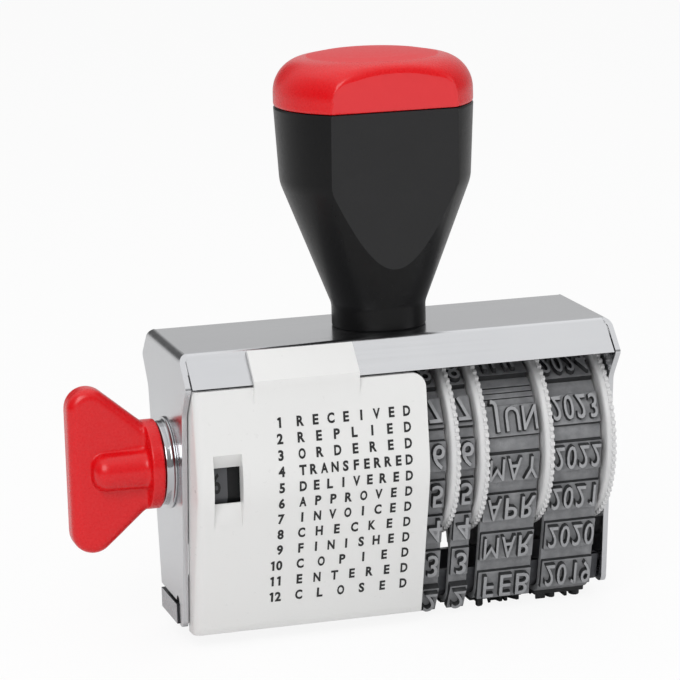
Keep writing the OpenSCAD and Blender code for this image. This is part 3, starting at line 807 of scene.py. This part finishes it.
@dataclass
class Handle:
    """Black turned handle with front and back flats, and the red cap on it, in mm and degrees."""

    foot_z: float = 45.6
    joint_z: float = 79.6
    top_z: float = 87.8
    seam: float = 0.04
    edge_r: float = 0.2
    edge_h: float = 0.25
    neck_r: float = 7.2
    neck_h: float = 3.4
    neck_turn: float = 3.0
    grip_h: float = 11.6
    grip_r: float = 14.5
    grip_turn: float = 6.0
    shoulder_r: float = 5.2
    cap_r: float = 15.1
    crown_r: float = 60.0
    dome_gap: float = 2.0
    flat_y: float = 11.5
    flat_slope: float = 4.0
    soft: float = 0.8
    crisp_h: float = 2.0
    crown_y: float = 7.5
    corner_x: float = 9.0
    blend: float = 1.5
    corner_blend: float = 3.0
    crown_sheen_r: float = 10.5

    def turned(self, name: str, rings: Sequence[Pair]) -> Object:
        """Draws a round face up through rings of given radius and height.

        Args:
            name: the piece's name.
            rings: radius and height of each ring, from the bottom.

        Returns:
            The closed turned body.
        """
        radius, height = rings[0]
        bpy.ops.mesh.primitive_circle_add(vertices=144, radius=radius * MM, fill_type="NGON")
        obj = bpy.context.object
        obj.name = name
        obj.data.transform(Matrix.Translation((0, 0, height * MM)))
        with editing(obj):
            for wide, high in rings[1:]:
                bpy.ops.mesh.extrude_region_move(
                    TRANSFORM_OT_translate={"value": (0, 0, (high - height) * MM)})
                scale = wide / radius
                bpy.ops.transform.resize(value=(scale, scale, 1), center_override=(0, 0, high * MM))
                radius, height = wide, high
            bpy.ops.mesh.select_all(action="SELECT")
            bpy.ops.mesh.normals_make_consistent(inside=False)
        return obj

    def flats(self, inset_mm: float = 0.0) -> list[tuple[Vector, Vector]]:
        """Finds the planes of the front and back flats.

        Args:
            inset_mm: distance of the planes inside the flats.

        Returns:
            A point and the outward normal of each plane.
        """
        slope = radians(self.flat_slope)
        planes = []
        for side in (-1, 1):
            out = Vector((0, side * cos(slope), -sin(slope)))
            middle = Vector((0, side * self.flat_y, self.joint_z)) * MM
            planes.append((middle - out * inset_mm * MM, out))
        return planes

    def flatten(self, obj: Object) -> None:
        """Cuts the front and back flats of a turned body.

        Args:
            obj: the turned body.
        """
        for point, out in self.flats():
            with editing(obj):
                bpy.ops.mesh.bisect(plane_co=point, plane_no=out, use_fill=True, clear_outer=True)
                pick(obj, "faces", lambda f: f.normal.dot(out) > 0.9999)
                bpy.ops.mesh.region_to_loop()
                bpy.ops.mesh.bevel(offset=self.soft * MM, segments=4, affect="EDGES", clamp_overlap=True)

    def round_crown(self, obj: Object) -> None:
        """Rounds the upper edges of the cap's flats and leaves their sides crisp.

        Args:
            obj: the cap with its flats.
        """
        melt(obj, voxel_mm=0.2, even=3, steps=220, weigh=lambda x, y, z: min(
            (z - self.joint_z - self.crisp_h) / self.blend, (abs(y) - self.crown_y) / self.blend,
            (self.corner_x - abs(x)) / self.corner_blend))

    def paint(self, obj: Object, round_finish: Finish, flat_and_sheen_finish: Finish) -> None:
        """Gives the flats and the crown's top their own finish, matt and lighter as painted sheen, with a
        clean border.

        Args:
            obj: the body with its flats.
            round_finish: surface of the turned faces.
            flat_and_sheen_finish: surface of the flats and the crown's top.
        """
        crown = Vector((0, 0, self.crown_z(self.crown_sheen_r))) * MM
        planes = self.flats(inset_mm=0.08) + [(crown, Z_AXIS)]
        for point, out in planes:
            with editing(obj):
                bpy.ops.mesh.bisect(plane_co=point, plane_no=out, threshold=FINE_CUT)
        coat(obj, round_finish, flat_and_sheen_finish, second=lambda face: any(
            (face.center - point).dot(out) > 0 for point, out in planes))

    def body_rings(self) -> list[Pair]:
        """Lists the black body's rings: neck, concave turn, cone, convex turn and grip.

        Returns:
            Radius and height of each ring.
        """
        top = self.joint_z - self.seam
        return filleted((
            (self.neck_r - self.edge_r, self.foot_z, 0), (self.neck_r, self.foot_z + self.edge_h, 0),
            (self.neck_r, self.foot_z + self.neck_h, self.neck_turn),
            (self.grip_r, self.joint_z - self.grip_h, self.grip_turn),
            (self.cap_r, top - self.edge_h, 0), (self.cap_r - self.edge_r, top, 0)))

    def cap_rings(self) -> list[Pair]:
        """Lists the red cap's rings: side, round shoulder and low dome.

        Returns:
            Radius and height of each ring.
        """
        inner = self.cap_r - self.shoulder_r - self.dome_gap
        rings = filleted((
            (self.cap_r - self.edge_r, self.joint_z + self.seam / 2, 0),
            (self.cap_r, self.joint_z + self.edge_h, 0),
            (self.cap_r, self.crown_z(self.cap_r), self.shoulder_r), (inner, self.crown_z(inner), 0)), 12)
        dome = [inner * share for share in (0.75, 0.5, 0.25, 0.025)]
        return rings + [(radius, self.crown_z(radius)) for radius in dome]

    def crown_z(self, radius: float) -> float:
        """Finds the crown's height at a radius.

        Args:
            radius: distance from the handle's axis, in mm.

        Returns:
            z in mm.
        """
        return self.top_z - radius ** 2 / (2 * self.crown_r)

    def build(self) -> None:
        """Makes both pieces in place of their CAD nodes."""
        body = self.turned("handle_moulding", self.body_rings())
        self.flatten(body)
        self.paint(body, BLACK_ABS, BLACK_FLAT_MATT_AND_SHEEN)
        cap = self.turned("cap_moulding", self.cap_rings())
        self.flatten(cap)
        self.round_crown(cap)
        self.paint(cap, RED_ABS, RED_FLAT_MATT_AND_SHEEN)
        for obj, node, slot in ((body, "handle", "black_plastic"), (cap, "handle_cap", "red_plastic")):
            only(obj)
            bpy.ops.object.shade_smooth_by_angle(angle=radians(28))
            dress(obj, Body.STAMP, slot)
            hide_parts(node)


@dataclass
class Shells:
    """Sheet and moulded pieces that keep their CAD shape and get broken edges, in mm."""

    top_y: float = 9.9
    top_z: float = 45.6
    flange_y: float = 14.3
    flange_drop: float = 4.6
    bend_x: float = 32.7
    bend_z: float = 44.3
    plate_x: float = 33.0
    fold: float = 2.5
    slack: float = 0.02
    flange_r: float = 6.8
    flange_x0: float = -37.65
    flange_x1: float = -35.75
    rim_w: float = 0.4
    root_l: float = 4.0
    root_free: float = 0.3
    root_sink: float = 0.15
    root_weight: float = 1.1

    def softened(self, node: str, body: Body, slot: str, finish: Finish,
                 width_mm: float, degrees: float = 32) -> Object:
        """Replaces a CAD node by its copy with broken edges.

        Args:
            node: the CAD node.
            body: the body it moves with.
            slot: the record's material slot.
            finish: its surface.
            width_mm: width of the broken edges.
            degrees: edges that turn by more than this are broken.

        Returns:
            The copy.
        """
        obj = clean_copy(node, f"{node}_shell")
        soften(obj, width_mm, degrees)
        dress(obj, body, slot, finish)
        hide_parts(node)
        return obj

    def root_share(self, x: float, y: float, z: float) -> float:
        """Says how far a point of the knob takes part in the fillet at the wing's root.

        Args:
            x: place along the axle in mm.
            y: depth.
            z: height.

        Returns:
            1 or more at the flange, less along the wing, 0 elsewhere.
        """
        way = x - self.flange_x0
        inner = hypot(y, z - AXLE_Z) < self.flange_r - self.rim_w or way < -self.root_free
        if inner and -self.root_l < way < self.root_sink:
            return way / self.root_l + self.root_weight
        return 0.0

    def knob(self) -> None:
        """Makes the wing knob with the soft fillets of a moulding and a crisp round flange."""
        wing = clean_copy("wing_knob", "wing_knob_moulding")
        bpy.ops.mesh.primitive_cylinder_add(vertices=128, radius=self.flange_r * MM,
                                            depth=(self.flange_x1 - self.flange_x0) * MM)
        disc = bpy.context.object
        middle = Matrix.Translation(Vector(((self.flange_x0 + self.flange_x1) / 2, 0, AXLE_Z)) * MM)
        disc.data.transform(middle @ Matrix.Rotation(pi / 2, 4, "Y"))
        obj = joined("wing_knob_moulding", [wing, disc])
        melt(obj, voxel_mm=0.16, even=6, steps=90, weigh=self.root_share)
        bpy.ops.object.shade_smooth()
        dress(obj, Body.PHRASE, "red_plastic", RED_ABS)
        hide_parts("wing_knob")

    def frame_sheet(self) -> None:
        """Makes the frame with its folded corners closed up to the flanges' planes."""
        obj = clean_copy("frame", "frame_shell")
        out = Vector((0, self.flange_drop, self.flange_y - self.top_y)).normalized()
        low, aside = (self.bend_z - self.slack) * MM, (self.bend_x - self.slack) * MM
        for side in (-1, 1):
            with editing(obj):
                pick(obj, "faces", lambda f: f.normal.y * side > 0.99 and all(
                    v.co.z > low and abs(v.co.x) > aside for v in f.verts))
                bpy.ops.mesh.extrude_region_move(
                    TRANSFORM_OT_translate={"value": (0, side * self.fold * MM, 0)})
                bpy.ops.mesh.select_more()
                bpy.ops.mesh.bisect(plane_co=(0, side * self.top_y * MM, self.top_z * MM),
                                    plane_no=(0, side * out.y, out.z), use_fill=True, clear_outer=True)
                bpy.ops.mesh.select_all(action="SELECT")
                bpy.ops.mesh.remove_doubles(threshold=self.slack * MM)
                pick(obj, "faces", lambda f: abs(f.normal.z) > 0.99 and all(
                    abs(v.co.z / MM - self.bend_z) < 1.5 * self.slack and abs(v.co.x / MM) > self.plate_x
                    for v in f.verts))
                bpy.ops.mesh.delete(type="FACE")
        soften(obj, width_mm=0.18, degrees=40)
        dress(obj, Body.STAMP, "plated_sheet", PLATED_SHEET)
        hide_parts("frame")

    def bridge(self) -> None:
        """Makes the print bridge, painted dark all over as painted shade, but for the bright sheared ends
        of its tongues.
        """
        obj = self.softened("print_bridge", Body.STAMP, "zinc", BRIDGE_SHADE_METAL, 0.12)
        coat(obj, STEEL, second=lambda face: (
            abs(face.normal.x) > 0.9 and abs(face.center.x) > self.bend_x * MM))

    def build(self) -> None:
        """Makes the frame, cover, knob, wheels and the hardware that shows."""
        self.frame_sheet()
        self.softened("phrase_cover", Body.STAMP, "white_plastic", WHITE_STYRENE, 0.2, 25)
        self.knob()
        self.bridge()
        for body in (Body.TENS, Body.UNITS, Body.MONTH, Body.YEAR):
            self.softened(f"{body.value}_wheel", body, "ivory_plastic", NATURAL_NYLON, 0.05, 50)
        for node, body, slot, finish, width in (
                ("knob_bush", Body.STAMP, "chrome", CHROME, 0.12),
                ("right_bush", Body.STAMP, "chrome", CHROME, 0.12),
                ("bush_nut", Body.STAMP, "steel", STEEL, 0.1),
                ("axle", Body.PHRASE, "steel", STEEL, 0.1),
                ("axle_clip", Body.PHRASE, "spring_steel", SPRING_STEEL, 0.06)):
            self.softened(node, body, slot, finish, width)


@dataclass
class CoverPrint:
    """Numbers and words printed on the cover, laid on its curved face, in mm."""

    words: Sequence[str]
    first_z: float = 34.3
    row_step: float = 2.43
    row_growth: float = 0.02
    number_x: float = -20.2
    number_step: float = 1.05
    word_x0: float = -16.95
    word_x1: float = -0.45
    char_h: float = 1.68
    lift: float = 0.03
    stand: float = 4.3
    top: Pair = (-14.2, 40.6)
    path: LoopPath = LoopPath()

    def face_y(self, z: float) -> float:
        """Finds the cover's face in front of a height.

        Args:
            z: height in mm.

        Returns:
            y in mm.
        """
        big, small = self.path.belt_r + self.stand, self.path.nose_r + self.stand
        lean = self.path.lean
        top_y, top_z = self.top
        tip = atan2(top_z - AXLE_Z, -top_y) - acos(big / hypot(top_y, top_z - AXLE_Z))
        high, low = AXLE_Z + big * sin(tip), AXLE_Z - big * sin(lean)
        if z > high:
            part = (z - high) / (top_z - high)
            return -big * cos(tip) * (1 - part) + top_y * part
        if z > low:
            return -sqrt(big ** 2 - (z - AXLE_Z) ** 2)
        rise = z - self.path.nose_z + small * sin(lean)
        return -self.path.nose_w - small * cos(lean) - rise * tan(lean)

    def lay(self, letters: Lettering, char: str, x: float, z: float) -> Object:
        """Lays one character on the face.

        Args:
            letters: the characters' models.
            char: the character.
            x: its centre along the cover, in mm.
            z: its middle's height, in mm.

        Returns:
            The laid character.
        """
        obj = settle(letters.model(char), Matrix.Translation(Vector((x, z, 0)) * MM), "print")
        with editing(obj):
            for cut in (-0.5, 0.0, 0.5):
                bpy.ops.mesh.select_all(action="SELECT")
                bpy.ops.mesh.bisect(plane_co=(0, (z + cut) * MM, 0), plane_no=(0, 1, 0))
        for vertex in obj.data.vertices:
            high = vertex.co.y / MM
            vertex.co = Vector((vertex.co.x / MM, self.face_y(high) - self.lift, high)) * MM
        return obj

    def build(self) -> None:
        """Prints every row and joins the characters into one piece."""
        letters = Lettering(self.char_h, width_mm=1.12, depth_mm=0.0, weight=0.4)
        made = []
        z = self.first_z
        for row, word in enumerate(self.words):
            middle = z + self.char_h / 2
            for i, char in enumerate(reversed(str(row + 1))):
                made.append(self.lay(letters, char, self.number_x - self.number_step * i, middle))
            for i, char in enumerate(word):
                x = self.word_x0 + (self.word_x1 - self.word_x0) * i / (len(word) - 1)
                made.append(self.lay(letters, char, x, middle))
            z -= self.row_step + self.row_growth * row
        letters.clear()
        obj = joined("cover_print", made)
        dress(obj, Body.STAMP, "black_plastic", BLACK_INK)


@dataclass
class IndexNumbers:
    """Index ring with numbers on its flats, seen through the cover's window, in mm."""

    count: int = 14
    used: int = 12
    flat_r: float = 12.8
    x: float = -29.55
    low: float = 0.68
    lift: float = 0.02
    step: float = 1.6
    shown: int = 5
    shade_edge_x: float = -27.9

    def ring(self) -> None:
        """Makes the ring, grey under the numbers, with painted shade on the band beside them."""
        obj = clean_copy("index_ring", "index_ring_moulding")
        with editing(obj):
            bpy.ops.mesh.bisect(plane_co=(self.shade_edge_x * MM, 0, 0), plane_no=X_AXIS)
        soften(obj, width_mm=0.06, degrees=40)
        dress(obj, Body.PHRASE, "dark_plastic", DARK_ACETAL)
        coat(obj, SHADE_ACETAL, second=lambda face: face.center.x > self.shade_edge_x * MM)
        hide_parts("index_ring")

    def build(self) -> None:
        """Makes the ring and sets the numbers round it, with one of them at the window."""
        self.ring()
        letters = Lettering(height_mm=3.3, width_mm=1.5, depth_mm=0.04, weight=0.2)
        made = []
        for k in range(self.used):
            turn = 2 * pi * (k - self.shown) / self.count
            out = Vector((0, -cos(turn), sin(turn)))
            up = Vector((0, sin(turn), cos(turn)))
            spot = Vector((self.x, 0, AXLE_Z)) + out * (self.flat_r + self.lift)
            place = framed((X_AXIS, up, out), spot)
            label = str(k + 1)
            for i, char in enumerate(label):
                aside = (i - (len(label) - 1) / 2) * self.step
                shift = Matrix.Translation(Vector((aside, -self.low, 0)) * MM)
                made.append(settle(letters.model(char), place @ shift, "index"))
        letters.clear()
        dress(joined("index_numbers", made), Body.PHRASE, "dark_plastic", NUMBER_INK)


@dataclass(frozen=True)
class Hardware:
    """CAD nodes that stay as they are and get a finish."""

    finishes: tuple[tuple[str, Finish], ...] = (
        ("end_washer", STEEL), ("handle_screw", STEEL), ("lock_washer", STEEL),
        ("handle_insert", BRASS), ("phrase_drum", DARK_ACETAL))

    def build(self) -> None:
        """Puts each node's finish in its material slots."""
        for node, finish in self.finishes:
            obj = frame["nodes"][node]
            if not obj.material_slots:
                coat(obj, finish)
            for slot in obj.material_slots:
                slot.material = finish.material()
            LOG.info("%s keeps its shape", node)


@dataclass(frozen=True)
class Studio:
    """Floor, soft light and the camera at the photograph's angle."""

    yaw: float = 0.27880
    pitch: float = 0.20940
    roll: float = -0.02860
    focal_px: float = 3197.29
    distance_mm: float = 498.57
    offset_mm: Pair = (-7.21, 41.97)
    image_px: int = 680
    sensor_mm: float = 36.0
    lamp_aim: Triple = (0, 0, 0.045)
    flag_way: Triple = (-0.2, 0.943, 0.266)

    def camera(self) -> None:
        """Sets the camera where the photograph was taken from."""
        flat = cos(self.pitch)
        back = Vector((-sin(self.yaw) * flat, -cos(self.yaw) * flat, sin(self.pitch)))
        level = Vector((cos(self.yaw), -sin(self.yaw), 0))
        over = back.cross(level)
        right = level * cos(self.roll) + over * sin(self.roll)
        up = over * cos(self.roll) - level * sin(self.roll)
        data = bpy.data.cameras.new("photo_camera")
        data.sensor_width = self.sensor_mm
        data.lens = self.focal_px / self.image_px * self.sensor_mm
        data.clip_start, data.clip_end = 0.01, 20
        obj = put("photo_camera", data)
        spot = right * self.offset_mm[0] + up * self.offset_mm[1] + back * self.distance_mm
        obj.matrix_world = framed((right, up, back), spot)
        bpy.context.scene.camera = obj

    def lamp(self, name: str, spot: Triple, size: float, watts: float) -> None:
        """Hangs one square softbox that looks at the stamp.

        Args:
            name: the lamp's name.
            spot: its place in metres.
            size: its side in metres.
            watts: its power.
        """
        data = bpy.data.lights.new(name, "AREA")
        data.size = size
        data.energy = watts
        obj = put(name, data)
        obj.location = spot
        way = Vector(self.lamp_aim) - Vector(spot)
        obj.rotation_euler = way.to_track_quat("-Z", "Y").to_euler()

    def world(self) -> None:
        """Makes the pale surround: bright above and behind, dimmer at the sides and the front."""
        made = bpy.data.worlds.new("studio_surround")
        tree = empty_tree(made)
        way = add_node(tree, "ShaderNodeTexCoord").outputs["Generated"]
        sides = add_node(tree, "ShaderNodeSeparateXYZ", {"Vector": way}).outputs
        aside = add_node(tree, "ShaderNodeMath", {0: sides["X"]}, operation="ABSOLUTE")
        # A dark flag stands behind at the left: it draws the dark line along the left bend.
        flag = add_node(tree, "ShaderNodeVectorMath", {0: way, 1: self.flag_way},
                        operation="DOT_PRODUCT")
        # Each term adds light that goes from one strength to another between two values.
        terms = ((sides["Y"], -0.5, 0.7, 0.34, 0.62), (sides["Z"], 0.3, 1.0, 0.0, 0.36),
                 (aside.outputs["Value"], 0.35, 1.0, 0.0, -0.3),
                 (flag.outputs["Value"], 0.94, 0.985, 0.0, -0.5))
        glow = None
        for value, low, high, first, last in terms:
            term = add_node(tree, "ShaderNodeMapRange", {
                "Value": value, "From Min": low, "From Max": high,
                "To Min": first, "To Max": last}).outputs["Result"]
            glow = term if glow is None else add_node(
                tree, "ShaderNodeMath", {0: glow, 1: term}, operation="ADD").outputs["Value"]
        seen = add_node(tree, "ShaderNodeLightPath").outputs["Is Camera Ray"]
        level = add_node(tree, "ShaderNodeMix", {"Factor": seen, "A": glow, "B": 1.0}).outputs["Result"]
        light = add_node(tree, "ShaderNodeBackground", {"Color": (1, 1, 1, 1), "Strength": level})
        add_node(tree, "ShaderNodeOutputWorld", {"Surface": light.outputs["Background"]})
        bpy.context.scene.world = made

    def floor(self) -> None:
        """Lays a plain white floor that keeps a soft shadow."""
        bpy.ops.mesh.primitive_plane_add(size=8)
        obj = bpy.context.object
        obj.name = "studio_floor"
        obj.data.transform(Matrix.Translation((0, 0, -0.02 * MM)))
        made = bpy.data.materials.new("white_paper_sweep")
        tree = empty_tree(made)
        paper = add_node(tree, "ShaderNodeBsdfDiffuse", {"Color": (0.88, 0.88, 0.88, 1)})
        white = add_node(tree, "ShaderNodeEmission", {"Color": (1, 1, 1, 1), "Strength": 1.0})
        seen = add_node(tree, "ShaderNodeLightPath").outputs["Is Camera Ray"]
        share = add_node(tree, "ShaderNodeMath", {0: seen, 1: 0.9}, operation="MULTIPLY")
        both = add_node(tree, "ShaderNodeMixShader", {
            0: share.outputs["Value"], 1: paper.outputs["BSDF"], 2: white.outputs["Emission"]})
        # Seen from below the paper is clear, so that the printing faces can be looked at.
        below = add_node(tree, "ShaderNodeNewGeometry").outputs["Backfacing"]
        clear = add_node(tree, "ShaderNodeBsdfTransparent")
        sheet = add_node(tree, "ShaderNodeMixShader", {
            0: below, 1: both.outputs["Shader"], 2: clear.outputs["BSDF"]})
        add_node(tree, "ShaderNodeOutputMaterial", {"Surface": sheet.outputs["Shader"]})
        obj.data.materials.append(made)

    def build(self) -> None:
        """Sets up the whole studio."""
        self.camera()
        self.world()
        self.floor()
        self.lamp("key_softbox", (-0.30, -0.50, 0.45), 0.40, 2.2)
        self.lamp("fill_softbox", (0.60, -0.35, 0.25), 0.40, 0.7)
        self.lamp("top_softbox", (0.0, 0.0, 0.70), 1.00, 1.2)
        bpy.context.scene.view_settings.view_transform = "Standard"


MONTHS = (*"JAN FEB MAR APR MAY JUN JUL AUG SEP OCT NOV DEC".split(), "", "")
YEARS = tuple(str(2018 + i) for i in range(14))
DIGITS = (*"1234567890-/", "", "", "", "")
WORDS = ("RECEIVED", "REPLIED", "ORDERED", "TRANSFERRED", "DELIVERED", "APPROVED",
         "INVOICED", "CHECKED", "FINISHED", "COPIED", "ENTERED", "CLOSED")


def type_loops() -> None:
    """Makes the five rubber loops with their type, one width of character after another."""
    for width, loops in (
            (2.4, (TypeLoop("tens_band", 3.4, 6.4, DIGITS), TypeLoop("units_band", 8.0, 11.0, DIGITS),
                   TypeLoop("month_band", 12.6, 21.4, MONTHS, roll=0.6, cells=3, blank=2.4, before=6))),
            (1.8, (TypeLoop("year_band", 23.0, 31.4, YEARS, roll=1.4, cells=4, blank=2.4),)),
            (2.7, (TypeLoop("phrase_band", -24.8, 2.6, WORDS + ("", ""), cells=8, blank=2.4),))):
        letters = Lettering(height_mm=4.0, width_mm=width, depth_mm=1.0, weight=0.06, soft_mm=0.16)
        for loop in loops:
            loop.build(letters)
        letters.clear()


def main() -> None:
    """Builds the stamp's looks in order."""
    logging.basicConfig(level=logging.INFO)
    Studio().build()
    Handle().build()
    Shells().build()
    type_loops()
    CoverPrint(WORDS).build()
    IndexNumbers().build()
    Hardware().build()


if __name__ == "__main__":
    main()
